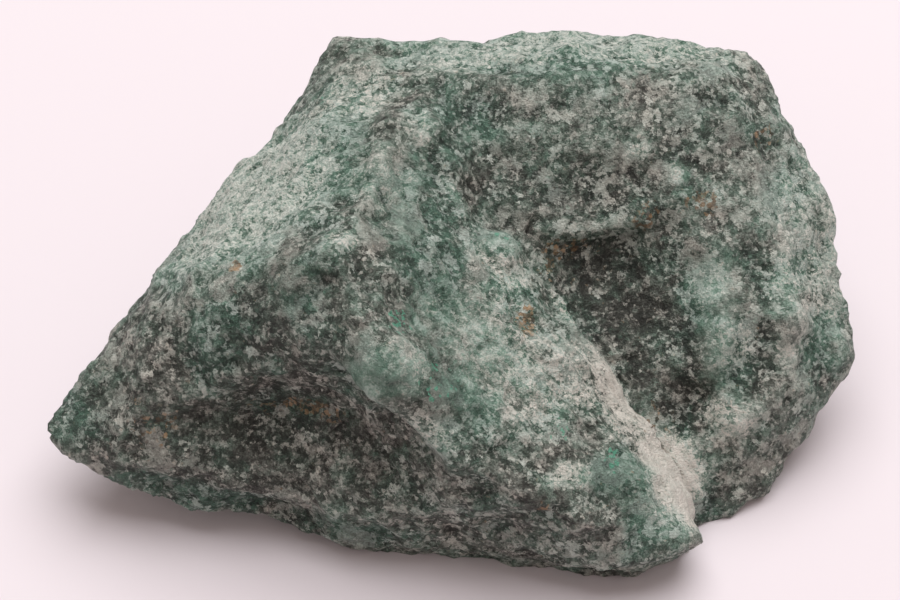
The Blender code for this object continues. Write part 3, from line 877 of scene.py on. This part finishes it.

# %% [markdown]
# ## Ground, flakes and crushed quartz
#
# Between the flakes the stone is dark, because light goes into the clear quartz and is lost in the
# mica. Two ramps give that ground, one grey and one green, and they are mixed by the stored green
# areas and a slow noise. In milky areas the grains fade and slow clouds take their place. The
# flakes are laid over it, thicker and whiter in pale areas, and crushed powder covers the palest.
# The stored pale numbers also carry painted light on the upper left face and the top strip and
# painted shade on the front face and in the hollows, and pits are darker as painted shade.

# %% Ground, flakes and crushed quartz
GREY_FLAKE = paint(216, 211, 201)
GREEN_FLAKE = paint(199, 210, 203)
WARM_POWDER = paint(228, 220, 211)
GREEN_POWDER = paint(212, 222, 214)
pale_now = tone_with_painted_light_and_shade + 0.9 * (flecks - 0.5) + 0.4 * (specks - 0.5)
vivid = 1.0 - 0.22 * green_area - 0.66 * milky_area
tone = 0.10 * (plate_tone - 0.5) + 0.18 * (flake_tone - 0.5) + 0.30 * (grain_tone - 0.5)
tone = vivid * (tone + 0.9 * (flecks - 0.5) + 0.35 * (specks - 0.5) + 0.8 * (dust - 0.5))
tone = tone + 1.7 * milky_area * (milk - 0.5) + 0.30 * (cloud - 0.5)
# Painted light and shade enter here: the stored pale numbers lift lit faces and lower shaded ones, and
# the crest numbers lower pits.
tone = (tone + 0.36 + 0.40 * tone_with_painted_light_and_shade + 0.18 * crest_wear_and_pit_shade).within()
grey_stops = [
    (0.0, paint(32, 31, 26)),
    (0.25, paint(64, 64, 58)),
    (0.5, paint(106, 108, 101)),
    (0.75, paint(148, 150, 143)),
    (1.0, paint(186, 186, 178)),
]
green_stops = [
    (0.0, paint(25, 41, 33)),
    (0.25, paint(50, 76, 63)),
    (0.5, paint(84, 115, 99)),
    (0.75, paint(126, 153, 138)),
    (1.0, paint(170, 190, 178)),
]
grey_ground = web.node("ShaderNodeValToRGB", {"stops": grey_stops}, {"Fac": tone})
green_ground = web.node("ShaderNodeValToRGB", {"stops": green_stops}, {"Fac": tone})
green_slow = noise(0.3, 3.0, 0.6, 0.4) + 0.16 * (plate_hue - 0.5) + 0.12 * (flake_hue - 0.5)
green_share = (0.42 + green_area + 0.6 * tone_with_painted_light_and_shade + 2.2 * (green_slow - 0.5)).within()
stone_colour = blend(green_share, grey_ground, green_ground)

plate_flake = (plate_pick + 0.9 * (flecks - 0.5) + 0.2 * tone_with_painted_light_and_shade).rising(0.84, 0.94)
wide_flake = flake_pick + 1.4 * (flecks - 0.5) + 0.25 * (grain_tone - 0.5) + 0.2 * pale_now
wide_flake = wide_flake.rising(0.80, 0.94)
small_flake = 0.5 + 0.5 * (grain_pick - 0.5) + 1.5 * (flecks - 0.5)
small_flake = (small_flake + 0.8 * (specks - 0.5) + 0.2 * tone_with_painted_light_and_shade).rising(0.48, 0.84)
flake = (0.4 * plate_flake).at_least(wide_flake * (0.35 + 0.5 * flake_hue))
flake = flake.at_least(small_flake * (0.35 + 0.5 * grain_hue))
flake = vivid * flake * (0.72 + 0.33 * tone_with_painted_light_and_shade + 0.36 * grain_tone + 1.0 * (dust - 0.5))
wisps = milky_area * (milk + 0.5 * (specks - 0.5)).rising(0.54, 0.70)
flake = flake.at_least(0.55 * wisps)
flake_colour = blend(green_share, GREY_FLAKE, GREEN_FLAKE)
stone_colour = blend(flake.within(), stone_colour, flake_colour)
powder_mask = pale_now + 0.75 * powder_area + 0.4 * (grain_tone - 0.5) + 1.0 * (dust - 0.5)
powder_mask = powder_mask.rising(0.45, 1.0) * (1.0 - 0.55 * milky_area)
powder_colour = blend(green_area.within(), WARM_POWDER, GREEN_POWDER)
stone_colour = blend(powder_mask * (0.72 + 0.26 * grain_pick), stone_colour, powder_colour)
print("Nodes so far:", len(tree.nodes))

# %% [markdown]
# ## Stains, painted glints and gloss
#
# Iron water stained single grains, so rust is picked grain by grain and not brushed on. Where the
# mica lies flat in a face it glints blue green; those glints are painted into the colour as bright
# blue green grains, and there the stone is also smoother. The grains also stand at slightly
# different heights, which the bump gives.

# %% Rust, glints, gloss and relief
DARK_RUST = paint(70, 54, 40)
LIGHT_RUST = paint(178, 138, 96)
PAINTED_MICA_GLINT = paint(82, 160, 132)
QUARTZ_IOR = 1.5
BUMP_DEPTH = 0.0006
rust_speck = (grain_hue + 0.9 * (specks - 0.5) + 0.85 * rust_area).rising(0.98, 1.3)
rust_colour = blend(grain_tone, DARK_RUST, LIGHT_RUST)
rust_strength = rust_speck * (0.35 + 0.6 * flecks.rising(0.3, 0.7))
stone_colour = blend(rust_strength, stone_colour, rust_colour)
# Painted glints: a few grains, more in the glinting areas, turn bright blue green as the mica's
# glints.
painted_glint = (grain_tone + 0.35 * painted_glint_area).rising(0.992, 1.02) * flecks.rising(0.38, 0.5)
stone_colour = blend(0.75 * painted_glint, stone_colour, PAINTED_MICA_GLINT)

roughness = 0.5 + 0.12 * flake - 0.2 * painted_glint + 0.3 * (dust - 0.5)
height = 0.5 * flecks + 0.22 * flake_pick + 0.18 * grain_pick + 0.30 * dust
bump_sockets = {"Height": height, "Strength": 1.0, "Distance": BUMP_DEPTH}
bump = web.node("ShaderNodeBump", {}, bump_sockets)
shader_sockets = {"Base Color": stone_colour, "Roughness": roughness, "Normal": bump}
shader = web.node("ShaderNodeBsdfPrincipled", {}, {**shader_sockets, "IOR": QUARTZ_IOR})
web.node("ShaderNodeOutputMaterial", {}, {"Surface": shader})
stone_mesh.materials.append(finish)
print("Finish nodes:", len(tree.nodes))

# %% [markdown]
# ## The paper under it
#
# The stone lies on a large sheet of pale, slightly pink paper, matt so that it throws no mirror
# image. It is scenery and no part of the stone.

# %% Paper
PAPER_SIZE = 4.0
PAPER_COLOUR = (0.84, 0.755, 0.80, 1.0)
PAPER_ROUGHNESS = 0.8
bpy.ops.mesh.primitive_plane_add(size=PAPER_SIZE, location=(0, 0, 0))
paper = bpy.context.object
paper.name = "paper"
paper_finish = bpy.data.materials.new("pale paper")
paper_finish.use_nodes = True
paper_shader = paper_finish.node_tree.nodes["Principled BSDF"]
paper_shader.inputs["Base Color"].default_value = PAPER_COLOUR
paper_shader.inputs["Roughness"].default_value = PAPER_ROUGHNESS
paper.data.materials.append(paper_finish)
print("Paper side in metres:", PAPER_SIZE)

# %% [markdown]
# ## Light
#
# One wide round lamp above and a little behind the stone gives the bright top faces, the dark
# front and a soft shadow. The pale warm room fills the shadows with a weak even light.

# %% Light
LAMP_SIZE = 0.8
LAMP_WATTS = 5.3
LAMP_COLOUR = (0.98, 1.0, 1.0)
LAMP_PLACE = (0.06, 0.22, 0.66)
ROOM_COLOUR = (1.0, 0.90, 0.84, 1.0)
ROOM_STRENGTH = 0.40
lamp = bpy.data.lights.new("window", "AREA")
lamp.shape = "DISK"
lamp.size = LAMP_SIZE
lamp.energy = LAMP_WATTS
lamp.color = LAMP_COLOUR
lamp_object = bpy.data.objects.new("window", lamp)
lamp_object.location = LAMP_PLACE
aim = Vector((0, 0, 0)) - lamp_object.location
lamp_object.rotation_euler = aim.to_track_quat("-Z", "Y").to_euler()
bpy.context.scene.collection.objects.link(lamp_object)
room = bpy.data.worlds.new("pale room")
bpy.context.scene.world = room
room.use_nodes = True
room_light = room.node_tree.nodes["Background"]
room_light.inputs["Color"].default_value = ROOM_COLOUR
room_light.inputs["Strength"].default_value = ROOM_STRENGTH
bpy.context.scene.view_settings.view_transform = "Standard"
print("Lamp energy in watts:", round(lamp.energy, 2))

# %% [markdown]
# ## Camera
#
# The camera looks down at 50 degrees from a quarter of a metre away through a long lens, which
# keeps the stone's proportions as they are. Everything is sharp.

# %% Camera
ELEVATION = math.radians(50)
LENS = 130.0
DISTANCE = 0.245
TARGET = Vector((-0.0004, -0.0019, 0.0131))
camera = bpy.data.cameras.new("camera")
camera.lens = LENS
camera.sensor_width = 36.0
camera.clip_start = 0.01
camera_object = bpy.data.objects.new("camera", camera)
towards_camera = Vector((0, -math.cos(ELEVATION), math.sin(ELEVATION)))
camera_object.location = TARGET + towards_camera * DISTANCE
camera_object.rotation_euler = towards_camera.to_track_quat("Z", "Y").to_euler()
bpy.context.scene.collection.objects.link(camera_object)
bpy.context.scene.camera = camera_object
print("Camera distance in metres:", round(DISTANCE, 3))
